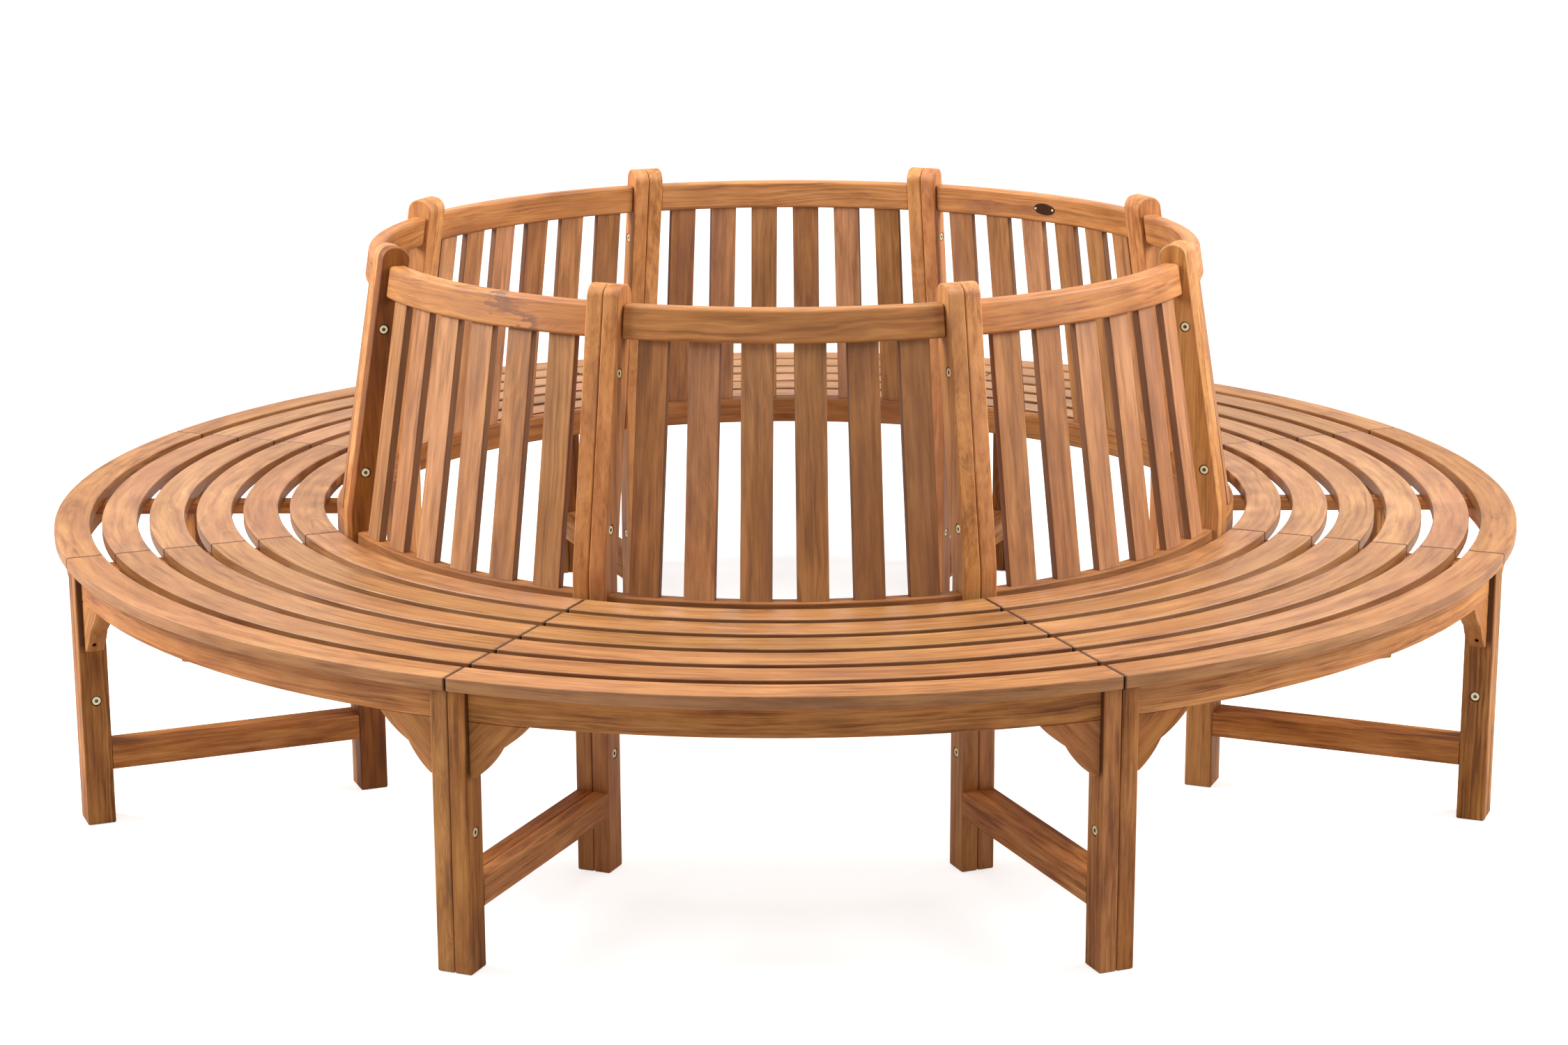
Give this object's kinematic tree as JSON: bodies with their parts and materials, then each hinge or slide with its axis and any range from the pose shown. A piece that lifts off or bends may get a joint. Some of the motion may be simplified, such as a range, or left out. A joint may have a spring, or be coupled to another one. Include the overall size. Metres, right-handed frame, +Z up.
{
  "type": "tree bench",
  "caption": "Round slatted hardwood bench that rings a tree: curved seat slats and outward-facing leaning backs on side frames bolted segment to segment.",
  "frame": {"origin": "centre of the ring on the ground, midway between all the feet", "axes": "+Z up along the trunk; -Y is the way that the first segment faces; +X is to the right of someone who looks at that segment"},
  "size_m": [2.452, 2.452, 0.9006],
  "materials": {
    "teak": "oiled teak, satin, with grain along each board"
  },
  "bodies": {
    "root": {"apron_brackets": "teak", "aprons": "teak", "bottom_back_rails": "teak", "seat_battens": "teak", "seat_slats_row_1": "teak", "seat_slats_row_2": "teak", "seat_slats_row_3": "teak", "seat_slats_row_4": "teak", "seat_slats_row_5": "teak", "seat_slats_row_6": "teak", "segment_1_back_posts": "teak", "segment_1_back_slats": "teak", "segment_1_front_legs": "teak", "segment_1_seat_rails": "teak", "segment_1_stretchers": "teak", "segment_2_back_posts": "teak", "segment_2_back_slats": "teak", "segment_2_front_legs": "teak", "segment_2_seat_rails": "teak", "segment_2_stretchers": "teak", "segment_3_back_posts": "teak", "segment_3_back_slats": "teak", "segment_3_front_legs": "teak", "segment_3_seat_rails": "teak", "segment_3_stretchers": "teak", "segment_4_back_posts": "teak", "segment_4_back_slats": "teak", "segment_4_front_legs": "teak", "segment_4_seat_rails": "teak", "segment_4_stretchers": "teak", "segment_5_back_posts": "teak", "segment_5_back_slats": "teak", "segment_5_front_legs": "teak", "segment_5_seat_rails": "teak", "segment_5_stretchers": "teak", "segment_6_back_posts": "teak", "segment_6_back_slats": "teak", "segment_6_front_legs": "teak", "segment_6_seat_rails": "teak", "segment_6_stretchers": "teak", "segment_7_back_posts": "teak", "segment_7_back_slats": "teak", "segment_7_front_legs": "teak", "segment_7_seat_rails": "teak", "segment_7_stretchers": "teak", "segment_8_back_posts": "teak", "segment_8_back_slats": "teak", "segment_8_front_legs": "teak", "segment_8_seat_rails": "teak", "segment_8_stretchers": "teak", "top_back_rails": "teak"}
  },
  "joints": []
}
